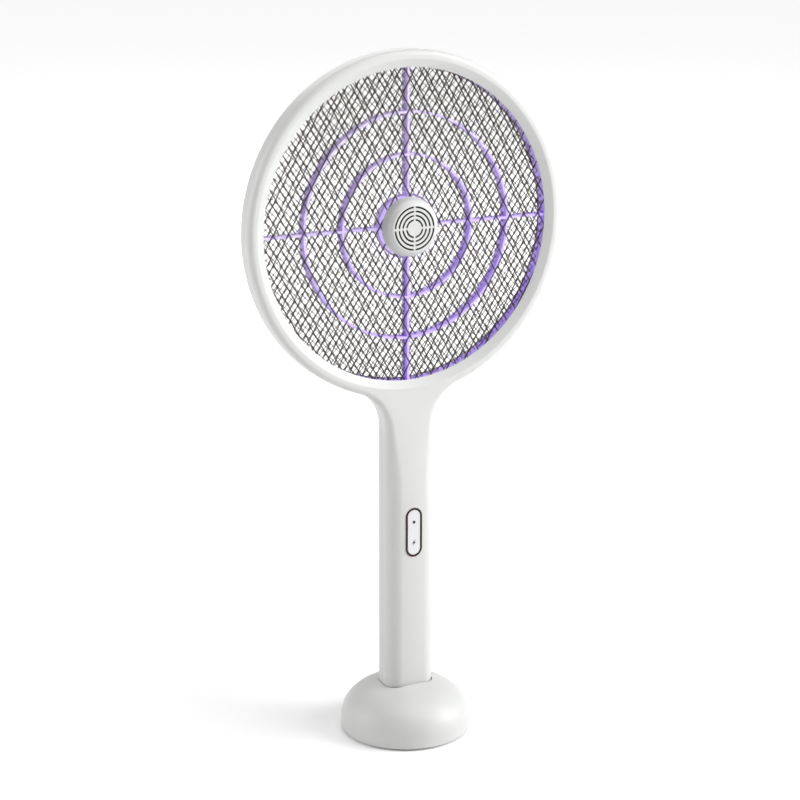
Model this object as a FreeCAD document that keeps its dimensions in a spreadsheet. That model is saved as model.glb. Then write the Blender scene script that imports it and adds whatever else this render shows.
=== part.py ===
import FreeCAD, Part
import math
import os

import Sketcher

# Rechargeable electric fly swatter standing in its charging dock.
# Frame: millimetres, +Z up, origin at the bottom centre of the dock, front of the swatter towards -Y.

SIZES = (
    # round head and its casing
    ("head_radius", 110.0),
    ("head_height", 340.1),
    ("ring_half_depth", 7.6),
    ("ring_crest_radius", 104.2),
    ("ring_edge_round", 3.8),
    ("opening_radius", 98.95),
    ("lip_depth", 4.65),
    ("seat_depth", 4.4),
    ("seat_radius", 102.2),
    ("channel_radius", 104.6),
    ("cover_wall", 1.8),
    # handle and neck
    ("handle_width", 34.0),
    ("handle_depth", 24.0),
    ("handle_corner", 9.0),
    ("handle_bottom", 13.0),
    ("neck_start", 165.0),
    ("neck_fillet", 28.0),
    ("neck_trim", 1.0),
    ("neck_slices", 7.0),
    ("neck_bite", 0.8),
    ("neck_skew", 0.3),
    ("neck_channel_reach", 1.0),
    # joining screws of the two covers
    ("ring_screw_circle", 105.3),
    ("ring_screw_count", 8.0),
    ("boss_radius", 3.05),
    ("handle_boss_radius", 3.2),
    ("screw_shank", 1.0),
    ("screw_head", 2.0),
    ("screw_head_height", 1.5),
    ("screw_recess", 2.6),
    ("screw_reach", 4.6),
    ("screw_slot_length", 2.6),
    ("screw_slot_width", 0.5),
    ("screw_slot_depth", 0.7),
    ("lower_screw_height", 27.0),
    ("upper_screw_height", 200.0),
    ("upper_post_slope", 2.0),
    # nets
    ("net_radius", 101.8),
    ("net_rim", 1.6),
    ("net_thickness", 0.6),
    ("net_pitch", 8.98),
    ("net_wire", 0.75),
    ("net_angle", 30.0),
    ("net_hole", 16.4),
    ("electrode_pitch", 3.3),
    ("electrode_wire", 0.42),
    ("electrode_angle", 45.0),
    ("electrode_hole", 19.1),
    ("front_net_shift_a", 1.77),
    ("front_net_shift_b", -0.16),
    ("rear_net_shift_a", 7.63),
    ("rear_net_shift_b", 0.26),
    ("electrode_shift_a", 1.80),
    ("electrode_shift_b", 1.62),
    # rib grids between the nets
    ("rib_width", 1.5),
    ("inner_rib_radius", 45.2),
    ("outer_rib_radius", 71.5),
    ("rim_rib_inner", 99.6),
    # lamp hub
    ("hub_base_radius", 19.0),
    ("hub_shoulder_radius", 18.0),
    ("hub_shoulder_depth", 9.6),
    ("hub_shoulder_round", 5.0),
    ("hub_face_radius", 14.9),
    ("hub_face_depth", 12.3),
    ("hub_edge_round", 2.2),
    ("hub_wall", 1.6),
    ("lens_wall", 1.5),
    ("lens_gap", 0.1),
    ("slot_outer_radius", 13.4),
    ("slot_step", 2.65),
    ("slot_width", 1.1),
    ("slot_bridge", 1.3),
    ("slot_rings", 4.0),
    ("backing_radius", 14.0),
    ("backing_thickness", 0.8),
    ("lamp_board_radius", 12.0),
    ("lamp_board_thickness", 1.6),
    ("led_count", 8.0),
    ("led_size", 3.0),
    ("led_height", 2.2),
    # push key and its bezel
    ("key_height", 140.2),
    ("bezel_width", 11.7),
    ("bezel_length", 33.4),
    ("bezel_wall", 1.1),
    ("bezel_depth", 2.6),
    ("bezel_proud", 0.25),
    ("key_gap", 0.35),
    ("key_proud", 0.1),
    ("key_thickness", 2.9),
    ("key_lug_width", 5.0),
    ("key_lug_length", 3.6),
    ("key_lug_back", 1.2),
    ("pivot_depth", 7.6),
    ("pivot_radius", 0.6),
    ("pivot_length", 16.4),
    ("pivot_clearance", 0.05),
    ("pivot_block_length", 2.2),
    ("pivot_block_height", 4.0),
    ("pivot_block_back", 1.0),
    ("mark_offset", 7.0),
    ("mark_radius", 0.75),
    ("mark_thickness", 0.08),
    ("bolt_tip_across", 0.68),
    ("bolt_tip_height", 1.65),
    ("bolt_wing_across", 0.82),
    ("bolt_waist_across", 0.08),
    ("bolt_wing_height", 0.22),
    # main board and what stands on it
    ("board_width", 26.0),
    ("board_length", 78.0),
    ("board_thickness", 1.6),
    ("board_bottom", 108.0),
    ("board_front", 4.1),
    ("tact_spacing", 9.0),
    ("tact_size", 6.0),
    ("tact_body", 3.4),
    ("tact_button", 1.6),
    ("tact_button_height", 1.0),
    ("core_width", 14.0),
    ("core_length", 13.0),
    ("core_depth", 5.0),
    ("core_limb", 4.4),
    ("core_leg", 2.2),
    ("core_yoke", 2.4),
    ("core_stand_off", 2.6),
    ("coil_depth", 9.6),
    ("coil_gap", 0.1),
    ("transformer_height", 127.0),
    ("film_width", 18.0),
    ("film_length", 11.0),
    ("film_depth", 6.0),
    ("film_height", 172.0),
    ("film_round", 1.2),
    ("diode_radius", 1.35),
    ("diode_length", 5.0),
    ("diode_height", 157.0),
    ("disc_radius", 3.4),
    ("disc_thickness", 2.4),
    ("disc_height", 148.0),
    ("row_step", 8.0),
    ("chip_width", 5.0),
    ("chip_length", 6.0),
    ("chip_depth", 1.5),
    ("chip_height", 176.0),
    # battery, its contacts and the leads
    ("cell_radius", 9.1),
    ("cell_length", 65.0),
    ("cell_bottom", 39.0),
    ("cell_nub", 3.0),
    ("cell_nub_height", 1.0),
    ("contact_width", 9.0),
    ("contact_depth", 6.0),
    ("contact_thickness", 0.5),
    ("lead_radius", 0.55),
    ("battery_lead_offset", 11.2),
    ("charge_lead_offset", 13.2),
    ("lead_side_depth", 6.5),
    ("net_lead_spacing", 6.0),
    ("battery_lead_shift", 1.0),
    ("lamp_lead_radius", 0.45),
    ("lead_gap", 0.1),
    ("lead_end_gap", 0.4),
    # end of the handle
    ("end_cap_thickness", 3.0),
    ("end_cap_gap", 0.1),
    ("pad_size", 5.0),
    ("pad_spacing", 6.0),
    # charging dock
    ("dock_radius", 42.8),
    ("dock_shoulder", 9.5),
    ("dock_dome", 25.7),
    ("dock_wall", 2.0),
    ("dock_lift", 1.5),
    ("socket_gap", 0.4),
    ("socket_wall", 1.8),
    ("socket_floor", 2.0),
    ("plate_thickness", 2.0),
    ("plate_gap", 0.4),
    ("foot_inner", 35.5),
    ("weight_inner", 24.0),
    ("weight_outer", 37.5),
    ("weight_height", 5.0),
    ("dock_boss_circle", 29.0),
    ("dock_boss_radius", 3.2),
    ("dock_boss_top", 25.6),
    ("dock_boss_gap", 0.6),
    ("dock_screw_length", 8.0),
    ("dock_screw_sink", 1.2),
    ("dock_screw_head_height", 1.0),
    ("dock_screw_slot_depth", 0.45),
    ("dock_head_gap", 0.1),
    ("dock_board_width", 16.0),
    ("dock_board_front", 9.5),
    ("dock_board_back", 38.5),
    ("dock_board_thickness", 1.2),
    ("board_notch_gap", 1.0),
    ("inlet_width", 8.9),
    ("inlet_height", 3.2),
    ("inlet_length", 7.3),
    ("inlet_back", 40.4),
    ("inlet_wall", 0.35),
    ("inlet_corner", 1.55),
    ("inlet_gap", 0.3),
    ("inlet_back_wall", 1.0),
    ("tongue_width", 4.7),
    ("tongue_thickness", 0.7),
    ("tongue_setback", 1.0),
    ("barrel_radius", 1.9),
    ("barrel_gap", 0.05),
    ("barrel_top_gap", 0.2),
    ("barrel_crimp", 0.7),
    ("pin_radius", 1.2),
    ("pin_tip_radius", 0.75),
    ("pin_clearance", 0.05),
    ("pin_body_length", 4.0),
    ("pin_shoulder_gap", 0.1),
    ("pin_spring_radius", 0.8),
    ("pin_spring_wire", 0.15),
    ("pin_spring_height", 0.9),
    ("pin_spring_turns", 3.0),
    ("pin_spring_lift", 0.2),
)

doc = FreeCAD.newDocument("FlySwatter")
sheet = doc.addObject("Spreadsheet::Sheet", "Sizes")
for row, (alias, value) in enumerate(SIZES, start=1):
    sheet.set("A%d" % row, alias)
    sheet.set("B%d" % row, str(value))
    sheet.setAlias("B%d" % row, alias)
doc.recompute()

size = dict(SIZES)
CELLS = {alias: "Sizes." + alias for alias in size}
NODES = []

TO_FRONT = FreeCAD.Rotation(FreeCAD.Vector(1, 0, 0), 90)
TO_BACK = FreeCAD.Rotation(FreeCAD.Vector(1, 0, 0), -90)
TO_RIGHT = FreeCAD.Rotation(FreeCAD.Vector(0, 1, 0), 90)


def cells(text):
    """Write each {alias} of a formula as a reference to the sheet."""
    return text.format(**CELLS)


def bind(item, formulas):
    """Tie properties of an object to the sheet."""
    for name, text in formulas.items():
        item.setExpression(name, cells(text))
    return item


def at(item, x="0", y="0", z="0"):
    """Tie an object's position to the sheet."""
    bases = {"Placement.Base.x": x, "Placement.Base.y": y, "Placement.Base.z": z}
    return bind(item, bases)


def keep(item, node):
    """Register an object as a finished sub-part under its own label."""
    item.Label = node
    NODES.append(item)
    return item


# ---------------------------------------------------------------- building blocks

def new_body(name, x="0", y="0", z="0"):
    """An empty body; its pieces may be separate solids, such as a set of screws."""
    body = doc.addObject("PartDesign::Body", name)
    body.AllowCompound = True
    return at(body, x, y, z)


def new_sketch(body, role, offset=None):
    """A sketch on one of the body's own origin planes, moved along its normal by a formula."""
    sketch = body.newObject("Sketcher::SketchObject", body.Name + "_sketch")
    plane = [item for item in body.Origin.OriginFeatures if item.Role == role][0]
    sketch.AttachmentSupport = (plane, [""])
    sketch.MapMode = "FlatFace"
    if offset:
        bind(sketch, {"AttachmentOffset.Base.z": offset})
    return sketch


def hold_point(sketch, geometry, point, x, y, start=(1.0, 1.0)):
    """Hold a point of the sketch at signed distances from its origin; None leaves one free."""
    for kind, text, value in (("DistanceX", x, start[0]), ("DistanceY", y, start[1])):
        if text is None:
            continue
        index = sketch.addConstraint(Sketcher.Constraint(kind, -1, 1, geometry, point, value))
        bind(sketch, {"Constraints[%d]" % index: text})


def outline(sketch, corners):
    """Straight edges through the corners, closed, with every corner tied to the sheet."""
    first = sketch.GeometryCount
    count = len(corners)
    turn = 2 * math.pi / count
    start = [FreeCAD.Vector(math.cos(turn * i), math.sin(turn * i), 0) for i in range(count)]
    for i in range(count):
        sketch.addGeometry(Part.LineSegment(start[i], start[(i + 1) % count]), False)
    for i in range(count):
        after = first + (i + 1) % count
        sketch.addConstraint(Sketcher.Constraint("Coincident", first + i, 2, after, 1))
    for i, (x, y) in enumerate(corners):
        hold_point(sketch, first + i, 1, x, y)
    return sketch


def circle(sketch, radius, x="0", y="0"):
    """A circle whose centre and radius are tied to the sheet."""
    shape = Part.Circle(FreeCAD.Vector(0, 0, 0), FreeCAD.Vector(0, 0, 1), 1.0)
    index = sketch.addGeometry(shape, False)
    hold_point(sketch, index, 3, x, y)
    hold = sketch.addConstraint(Sketcher.Constraint("Radius", index, 1.0))
    bind(sketch, {"Constraints[%d]" % hold: radius})
    return sketch


def rectangle(sketch, width, height, x="0", y="0"):
    """A rectangle by its size and centre."""
    left, right = "(%s)-(%s)/2" % (x, width), "(%s)+(%s)/2" % (x, width)
    low, high = "(%s)-(%s)/2" % (y, height), "(%s)+(%s)/2" % (y, height)
    return outline(sketch, [(left, low), (right, low), (right, high), (left, high)])


def feature(body, kind, sketch, formulas):
    """Add a sketch-based feature to the body and tie its sizes to the sheet."""
    item = body.newObject("PartDesign::" + kind, body.Name + "_" + kind)
    item.Profile = sketch
    bind(item, formulas)
    sketch.Visibility = False
    return item


def pad(body, sketch, length, both_ways=False):
    """Extrude a sketch along its normal, or half each way."""
    item = feature(body, "Pad", sketch, {"Length": length})
    item.Midplane = both_ways
    return item


def pocket(body, sketch, length, backwards=False):
    """Cut a sketch into the body; backwards cuts along the sketch's normal."""
    item = feature(body, "Pocket", sketch, {"Length": length})
    item.Reversed = backwards
    return item


def revolve(body, sketch):
    """Turn a sketch once round its own vertical axis."""
    item = feature(body, "Revolution", sketch, {})
    item.ReferenceAxis = (sketch, ["V_Axis"])
    item.Angle = 360
    return item


def round_pattern(body, originals, role, count):
    """Repeat features evenly round one of the body's own axes."""
    item = body.newObject("PartDesign::PolarPattern", body.Name + "_pattern")
    item.Originals = originals
    axis = [part for part in body.Origin.OriginFeatures if part.Role == role][0]
    item.Axis = (axis, [""])
    item.Angle = 360
    bind(item, {"Occurrences": count})
    body.Tip = item
    return item


def round_edges(body, radius, chosen):
    """Fillet the edges of the body's tip that the test picks."""
    doc.recompute()
    base = body.Tip
    names = ["Edge%d" % (i + 1) for i, edge in enumerate(base.Shape.Edges) if chosen(edge)]
    item = body.newObject("PartDesign::Fillet", body.Name + "_fillet")
    item.Base = (base, names)
    bind(item, {"Radius": radius})
    return item


def upright(edge):
    """True for a straight edge along Z."""
    box = edge.BoundBox
    return box.XLength < 1e-6 and box.YLength < 1e-6


def crosswise(edge):
    """True for a straight edge along Y."""
    box = edge.BoundBox
    return box.XLength < 1e-6 and box.ZLength < 1e-6


def ring_edge(radius, depth):
    """A test for the round edge about the Y axis at this radius and this depth either way."""
    def chosen(edge):
        box = edge.BoundBox
        flat = box.YLength < 1e-6 and abs(abs(box.YMin) - depth) < 1e-6
        return flat and abs(box.XMax - radius) < 1e-3
    return chosen


def block(name, width, depth, height, x="0", y="0", z="0"):
    """A box by its size and its centre."""
    item = doc.addObject("Part::Box", name)
    bind(item, {"Length": width, "Width": depth, "Height": height})
    low = ["(%s)-(%s)/2" % pair for pair in ((x, width), (y, depth), (z, height))]
    return at(item, *low)


def rod(name, radius, length, x="0", y="0", z="0", turn=None):
    """A cylinder from its first end, along +Z unless turned."""
    item = doc.addObject("Part::Cylinder", name)
    bind(item, {"Radius": radius, "Height": length})
    if turn:
        item.Placement.Rotation = turn
    return at(item, x, y, z)


def joined(name, parts):
    """Fuse several objects into one."""
    item = doc.addObject("Part::MultiFuse", name)
    item.Refine = False
    item.Shapes = parts
    return item


def cut(name, base, tool):
    """Take one object out of another."""
    item = doc.addObject("Part::Cut", name)
    item.Base = base
    item.Tool = tool
    return item


def common(name, first, second):
    """What two objects share."""
    item = doc.addObject("Part::MultiCommon", name)
    item.Shapes = [first, second]
    return item


def group(name, parts):
    """Several separate solids kept as one sub-part."""
    item = doc.addObject("Part::Compound", name)
    item.Links = parts
    return item


def pill(sketch, insets=()):
    """The bezel's upright slot shape drawn in by the named insets: two sides and two round ends."""
    inset = "+".join("{%s}" % name for name in insets) if insets else "0"
    drawn_in = sum(size[name] for name in insets)
    radius = size["bezel_width"] / 2 - drawn_in
    normal = FreeCAD.Vector(0, 0, 1)
    up = FreeCAD.Vector(0, (size["bezel_length"] - size["bezel_width"]) / 2, 0)
    right = FreeCAD.Vector(radius, 0, 0)
    top = sketch.addGeometry(Part.ArcOfCircle(Part.Circle(up, normal, radius), 0, math.pi), False)
    low = sketch.addGeometry(Part.ArcOfCircle(Part.Circle(-up, normal, radius), math.pi, 2 * math.pi), False)
    east = sketch.addGeometry(Part.LineSegment(right - up, right + up), False)
    west = sketch.addGeometry(Part.LineSegment(up - right, -up - right), False)
    links = ((top, 2, west, 1), (west, 2, low, 1), (low, 2, east, 1), (east, 2, top, 1))
    for first, end, second, start in links:
        sketch.addConstraint(Sketcher.Constraint("Coincident", first, end, second, start))
    centre = "({bezel_length}-{bezel_width})/2"
    side = "{bezel_width}/2-(%s)" % inset
    hold_point(sketch, top, 3, None, centre, (0, up.y))
    hold_point(sketch, low, 3, None, "-" + centre, (0, -up.y))
    for point, x, y in ((1, side, centre), (2, "-(%s)" % side, centre)):
        sign = 1 if point == 1 else -1
        hold_point(sketch, top, point, x, y, (sign * radius, up.y))
        hold_point(sketch, low, 3 - point, x, "-" + y, (sign * radius, -up.y))
    return sketch


# ---------------------------------------------------------------- casing of the swatter

def rounded_section(half_width, half_depth, corner, height):
    """A rounded rectangle lying level at one height."""
    x, y, r = half_width, half_depth, corner
    side, front = x - r, y - r
    diagonal = r * math.sqrt(0.5)
    edges = []
    for sx, sy, along_x in ((1, 1, False), (-1, 1, True), (-1, -1, False), (1, -1, True)):
        first = FreeCAD.Vector(sx * x, sy * front, height)
        last = FreeCAD.Vector(sx * side, sy * y, height)
        if along_x:
            first, last = last, first
        middle = FreeCAD.Vector(sx * (side + diagonal), sy * (front + diagonal), height)
        edges.append(Part.Arc(first, middle, last).toShape())
    closed = []
    for i, edge in enumerate(edges):
        after = edges[(i + 1) % len(edges)]
        closed.append(edge)
        closed.append(Part.makeLine(edge.lastVertex().Point, after.firstVertex().Point))
    return Part.Wire(closed)


def neck_levels():
    """Heights of the neck's sections with their half-widths: straight, then a hollow round flare."""
    round_in = size["neck_fillet"]
    side = size["handle_width"] / 2
    away = size["head_radius"] - size["neck_bite"] + round_in
    reach = math.sqrt(away ** 2 - (side + round_in) ** 2)
    flare_start = size["head_height"] - reach
    last_angle = math.asin(reach / away)
    count = int(size["neck_slices"])
    rise = (flare_start - size["neck_start"]) / count
    levels = [(size["neck_start"] + rise * i, side) for i in range(count + 1)]
    for i in range(1, count + 1):
        angle = last_angle * i / count
        levels.append((flare_start + round_in * math.sin(angle), side + round_in * (1 - math.cos(angle))))
    return levels


def handle_solid(inset, bottom, top, last_depth):
    """The handle and neck, drawn in by a wall thickness: a straight grip, then a lofted neck."""
    levels = neck_levels()
    low, high = levels[0][0], levels[-1][0]
    corner = size["handle_corner"] - inset
    last_corner = size["ring_edge_round"] - 0.5 * inset
    half_width = size["handle_width"] / 2 - inset
    half_depth = size["handle_depth"] / 2 - inset
    sections = [rounded_section(half_width, half_depth, corner, bottom)]
    for height, width in levels:
        share = (height - low) / (high - low)
        ease = share * share * (3 - 2 * share)
        depth = half_depth + (last_depth - half_depth) * ease
        edge = corner + (last_corner - corner) * ease
        sections.append(rounded_section(width - inset, depth, edge, height))
    span = 2 * size["head_radius"]
    limit = Part.makeBox(span, span, top, FreeCAD.Vector(-span / 2, -span / 2, 0))
    return Part.makeLoft(sections, True, True).common(limit)


def raw_shape(name, shape):
    """A shape made directly, for a form that no sketch or primitive gives."""
    item = doc.addObject("Part::Feature", name)
    item.Shape = shape
    return item


def ring_casing():
    """The hollow ring that holds the nets, open towards its middle."""
    body = new_body("ring_casing", z="{head_height}")
    sketch = new_sketch(body, "XY_Plane")
    front = [
        ("{head_radius}", "-{ring_half_depth}"),
        ("{ring_crest_radius}", "-{ring_half_depth}"),
        ("{opening_radius}", "-{lip_depth}"),
        ("{opening_radius}", "-{seat_depth}"),
        ("{seat_radius}", "-{seat_depth}"),
        ("{channel_radius}", "-({ring_half_depth}-{cover_wall})"),
        ("{head_radius}-{cover_wall}", "-({ring_half_depth}-{cover_wall})"),
    ]
    back = [(x, "-(%s)" % y) for x, y in reversed(front)]
    outline(sketch, front + back)
    revolve(body, sketch)
    round_edges(body, "{ring_edge_round}", ring_edge(size["head_radius"], size["ring_half_depth"]))
    return body


def head_hollow():
    """All that lies inside the ring, used to trim the neck."""
    body = new_body("head_hollow", z="{head_height}")
    sketch = new_sketch(body, "XY_Plane")
    front = [
        ("0", "-{handle_depth}"),
        ("{ring_crest_radius}", "-{handle_depth}"),
        ("{ring_crest_radius}", "-{ring_half_depth}"),
        ("{opening_radius}", "-{lip_depth}"),
        ("{opening_radius}", "-{seat_depth}"),
        ("{seat_radius}", "-{seat_depth}"),
        ("{channel_radius}", "-({ring_half_depth}-{cover_wall})"),
        ("{head_radius}-{cover_wall}", "-({ring_half_depth}-{cover_wall})"),
    ]
    back = [(x, "-(%s)" % y) for x, y in reversed(front)]
    outline(sketch, front + back)
    revolve(body, sketch)
    return body


def casing():
    """The whole hollow casing, lofted neck and ring in one, before it is parted into two covers."""
    ring, hollow = ring_casing(), head_hollow()
    doc.recompute()
    top = neck_levels()[-1][0] - size["neck_trim"]
    inner_top = size["head_height"] - size["ring_screw_circle"] - size["neck_channel_reach"]
    outer_depth = size["ring_half_depth"] - size["neck_skew"]
    inner_depth = size["ring_half_depth"] - size["cover_wall"] + size["neck_skew"]
    outside = handle_solid(0, size["handle_bottom"], top, outer_depth)
    inside = handle_solid(size["cover_wall"], size["handle_bottom"] / 2, inner_top, inner_depth)
    neck = outside.cut(inside).cut(hollow.Shape)
    return raw_shape("casing", ring.Shape.cut(inside).fuse(neck))


def front_to_back(forward):
    """The sign of Y and the turn of an upright rod that point to the front or the back."""
    return ("-1", TO_FRONT) if forward else ("1", TO_BACK)


def handle_screw_heights():
    """Heights of the two screws in the handle with how far their posts reach from the parting plane."""
    wall_middle = "{handle_depth}/2-0.5*{cover_wall}"
    upper_reach = wall_middle + "-{upper_post_slope}"
    return (("{lower_screw_height}", wall_middle), ("{upper_screw_height}", upper_reach))


def half_casing(name, forward):
    """One half of the casing with its screw posts."""
    sign, turn = front_to_back(forward)
    side_box = block(name + "_side", "3*{head_radius}", "{handle_depth}", "3*{head_height}",
                     y=sign + "*{handle_depth}/2")
    shell = common(name + "_shell", casing_shape, side_box)
    posts = new_body(name + "_ring_posts", z="{head_height}")
    sketch = circle(new_sketch(posts, "XZ_Plane"), "{boss_radius}", x="{ring_screw_circle}")
    post = pad(posts, sketch, "{ring_half_depth}-0.5*{cover_wall}")
    post.Reversed = not forward
    round_pattern(posts, [post], "Y_Axis", "{ring_screw_count}")
    parts = [shell, posts]
    for i, (height, reach) in enumerate(handle_screw_heights()):
        parts.append(rod("%s_post_%d" % (name, i), "{handle_boss_radius}", reach, z=height, turn=turn))
    return parts


def screw_bores(name, forward):
    """The holes that the joining screws run in; at the back they widen to take the heads."""
    sign, turn = front_to_back(forward)
    ring = new_body(name + "_ring_bores", z="{head_height}")
    bore_sketch = circle(new_sketch(ring, "XZ_Plane"), "{screw_shank}", x="{ring_screw_circle}")
    bore = pad(ring, bore_sketch, "{screw_reach}" if forward else "{ring_half_depth}")
    bore.Reversed = not forward
    cuts = [bore]
    if not forward:
        seat = "-({ring_half_depth}-{screw_recess})"
        head_sketch = circle(new_sketch(ring, "XZ_Plane", seat), "{screw_head}", x="{ring_screw_circle}")
        head = pad(ring, head_sketch, "{handle_depth}")
        head.Reversed = True
        cuts.append(head)
    round_pattern(ring, cuts, "Y_Axis", "{ring_screw_count}")
    bores = [ring]
    for i, (height, reach) in enumerate(handle_screw_heights()):
        length = "{screw_reach}" if forward else "{handle_depth}"
        bores.append(rod("%s_bore_%d" % (name, i), "{screw_shank}", length, z=height, turn=turn))
        if not forward:
            bores.append(rod("%s_sink_%d" % (name, i), "{screw_head}", "{handle_depth}",
                             y="(%s)-{screw_recess}" % reach, z=height, turn=turn))
    return joined(name + "_bores", bores)


def front_cover():
    """Front half of the casing, with the key's opening and the two blocks that hold its pivot."""
    parts = half_casing("front", True)
    inner_face = "{handle_depth}/2-0.5*{cover_wall}"
    block_depth = "%s-{pivot_depth}+{pivot_block_back}" % inner_face
    for name, side in (("left_block", "-1"), ("right_block", "1")):
        parts.append(block(name, "{pivot_block_length}", block_depth, "{pivot_block_height}",
                           x=side + "*({pivot_length}-{pivot_block_length})/2",
                           y="-(%s+{pivot_depth}-{pivot_block_back})/2" % inner_face, z="{key_height}"))
    solid = joined("front_with_posts", parts)
    opening = new_body("key_opening", z="{key_height}")
    pad(opening, pill(new_sketch(opening, "XZ_Plane", "{handle_depth}/2-{bezel_depth}")), "{handle_depth}")
    pivot_hole = rod("pivot_hole", "{pivot_radius}", "{pivot_length}", x="-{pivot_length}/2",
                     y="-{pivot_depth}", z="{key_height}", turn=TO_RIGHT)
    tool = joined("front_cuts", [opening, pivot_hole, screw_bores("front", True)])
    keep(cut("front_cover", solid, tool), "front_cover")


def rear_cover():
    """Back half of the casing, with sunk holes for the joining screws."""
    solid = joined("rear_with_posts", half_casing("rear", False))
    keep(cut("rear_cover", solid, screw_bores("rear", False)), "rear_cover")


def screw(body, x, head_offset, shank_length):
    """One cross-head screw along Y: its head sits head_offset behind the parting plane."""
    shank = pad(body, circle(new_sketch(body, "XZ_Plane", "-(%s)" % head_offset), "{screw_shank}", x=x),
                shank_length)
    head = pad(body, circle(new_sketch(body, "XZ_Plane", "-(%s)" % head_offset), "{screw_head}", x=x),
               "{screw_head_height}")
    head.Reversed = True
    top = "-(%s+{screw_head_height})" % head_offset
    slots = []
    for width, height in (("{screw_slot_length}", "{screw_slot_width}"),
                          ("{screw_slot_width}", "{screw_slot_length}")):
        sketch = rectangle(new_sketch(body, "XZ_Plane", top), width, height, x=x)
        slots.append(feature(body, "Pocket", sketch, {"Length": "{screw_slot_depth}"}))
        slots[-1].Reversed = True
    return [shank, head] + slots


def ring_screws():
    """The screws round the ring."""
    body = new_body("ring_screws", z="{head_height}")
    parts = screw(body, "{ring_screw_circle}", "{ring_half_depth}-{screw_recess}",
                  "{ring_half_depth}-{screw_recess}+{screw_reach}")
    round_pattern(body, parts, "Y_Axis", "{ring_screw_count}")
    keep(body, "ring_screws")


def handle_screws():
    """The two screws in the handle."""
    screws = []
    for i, (height, reach) in enumerate(handle_screw_heights()):
        body = new_body("handle_screw_%d" % i, z=height)
        seat = "(%s)-{screw_recess}" % reach
        screw(body, "0", seat, "(%s)+{screw_reach}" % seat)
        screws.append(body)
    keep(group("handle_screws", screws), "handle_screws")


# ---------------------------------------------------------------- nets and the ribs between them

def wires(hole_radius, pitch, width, thickness, angle, offset, depth):
    """Parallel flat wires across the head, trimmed to the net's rim and round its middle hole."""
    outer = size["net_radius"] - size["net_rim"]
    edge = FreeCAD.Vector(0, depth, 0)
    back = FreeCAD.Vector(0, 1, 0)
    disc = Part.makeCylinder(outer, thickness, edge, back)
    hole = Part.makeCylinder(hole_radius + size["net_rim"], thickness, edge, back)
    field = disc.cut(hole)
    pieces = []
    count = int(outer / pitch) + 1
    for k in range(-count, count + 1):
        along = offset + k * pitch
        if abs(along) > outer - width:
            continue
        wire = Part.makeBox(width, thickness, 2 * outer, FreeCAD.Vector(along - width / 2, depth, -outer))
        wire.rotate(FreeCAD.Vector(0, 0, 0), FreeCAD.Vector(0, 1, 0), -angle)
        pieces += wire.common(field).Solids
    return pieces


def net(node, hole_radius, pitch, width, angle, offsets, depth):
    """A flat diamond net: two layers of wires lying on each other, with a rim outside and round the hub."""
    thickness = size["net_thickness"]
    layer = thickness / 2
    solids = wires(hole_radius, pitch, width, layer, angle, offsets[0], depth)
    solids += wires(hole_radius, pitch, width, layer, -angle, offsets[1], depth + layer)
    base = FreeCAD.Vector(0, depth, 0)
    back = FreeCAD.Vector(0, 1, 0)
    for outer in (size["net_radius"], hole_radius + size["net_rim"]):
        disc = Part.makeCylinder(outer, thickness, base, back)
        solids.append(disc.cut(Part.makeCylinder(outer - size["net_rim"], thickness, base, back)))
    item = raw_shape(node, Part.makeCompound(solids))
    at(item, z="{head_height}")
    keep(item, node)


def nets():
    """The two outer nets just behind the casing's lips and the finer live net midway between them."""
    outer_depth = size["seat_depth"]
    thickness = size["net_thickness"]
    coarse = (size["net_hole"], size["net_pitch"], size["net_wire"], size["net_angle"])
    fine = (size["electrode_hole"], size["electrode_pitch"], size["electrode_wire"], size["electrode_angle"])
    front_shift = (size["front_net_shift_a"], size["front_net_shift_b"])
    rear_shift = (size["rear_net_shift_a"], size["rear_net_shift_b"])
    electrode_shift = (size["electrode_shift_a"], size["electrode_shift_b"])
    net("front_net", *coarse, front_shift, -outer_depth)
    net("rear_net", *coarse, rear_shift, outer_depth - thickness)
    net("electrode_net", *fine, electrode_shift, -thickness / 2)


def lead_channels(body):
    """Two grooves beside the lower spoke, from the rim inwards, that the lamp leads lie in."""
    sketch = new_sketch(body, "XY_Plane")
    wide = "2*({lamp_lead_radius}+{lead_gap})"
    deep = "{net_thickness}/2+2*({lamp_lead_radius}+{lead_gap})"
    for side in ("-1", "1"):
        across = side + "*({rib_width}/2+{lamp_lead_radius}+{lead_gap})"
        rectangle(sketch, wide, deep, x=across, y="{net_thickness}/2+(%s)/2" % deep)
    pocket(body, sketch, "{net_radius}")


def rib_grid(node, forward):
    """A white cross with two rings and a rim that holds two nets apart."""
    body = new_body(node, z="{head_height}")
    depth = "{seat_depth}-1.5*{net_thickness}"
    offset = "{net_thickness}/2" if forward else "-({seat_depth}-{net_thickness})"
    reach = "({net_radius}+{rim_rib_inner})/2"
    half = "{rib_width}/2"
    corners = [
        (half, half), (reach, half), (reach, "-" + half), (half, "-" + half),
        (half, "-(%s)" % reach), ("-" + half, "-(%s)" % reach), ("-" + half, "-" + half),
        ("-(%s)" % reach, "-" + half), ("-(%s)" % reach, half), ("-" + half, half),
        ("-" + half, reach), (half, reach),
    ]
    pad(body, outline(new_sketch(body, "XZ_Plane", offset), corners), depth)
    rings = [
        ("{inner_rib_radius}+" + half, "{inner_rib_radius}-" + half),
        ("{outer_rib_radius}+" + half, "{outer_rib_radius}-" + half),
        ("{net_radius}", "{rim_rib_inner}"),
    ]
    for outer, inner in rings:
        sketch = circle(new_sketch(body, "XZ_Plane", offset), outer)
        pad(body, circle(sketch, inner), depth)
    cutter = circle(new_sketch(body, "XZ_Plane"), "{hub_base_radius}")
    pocket(body, cutter, "{handle_depth}").Midplane = True
    if not forward:
        lead_channels(body)
    keep(body, node)


# ---------------------------------------------------------------- lamp hub

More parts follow.
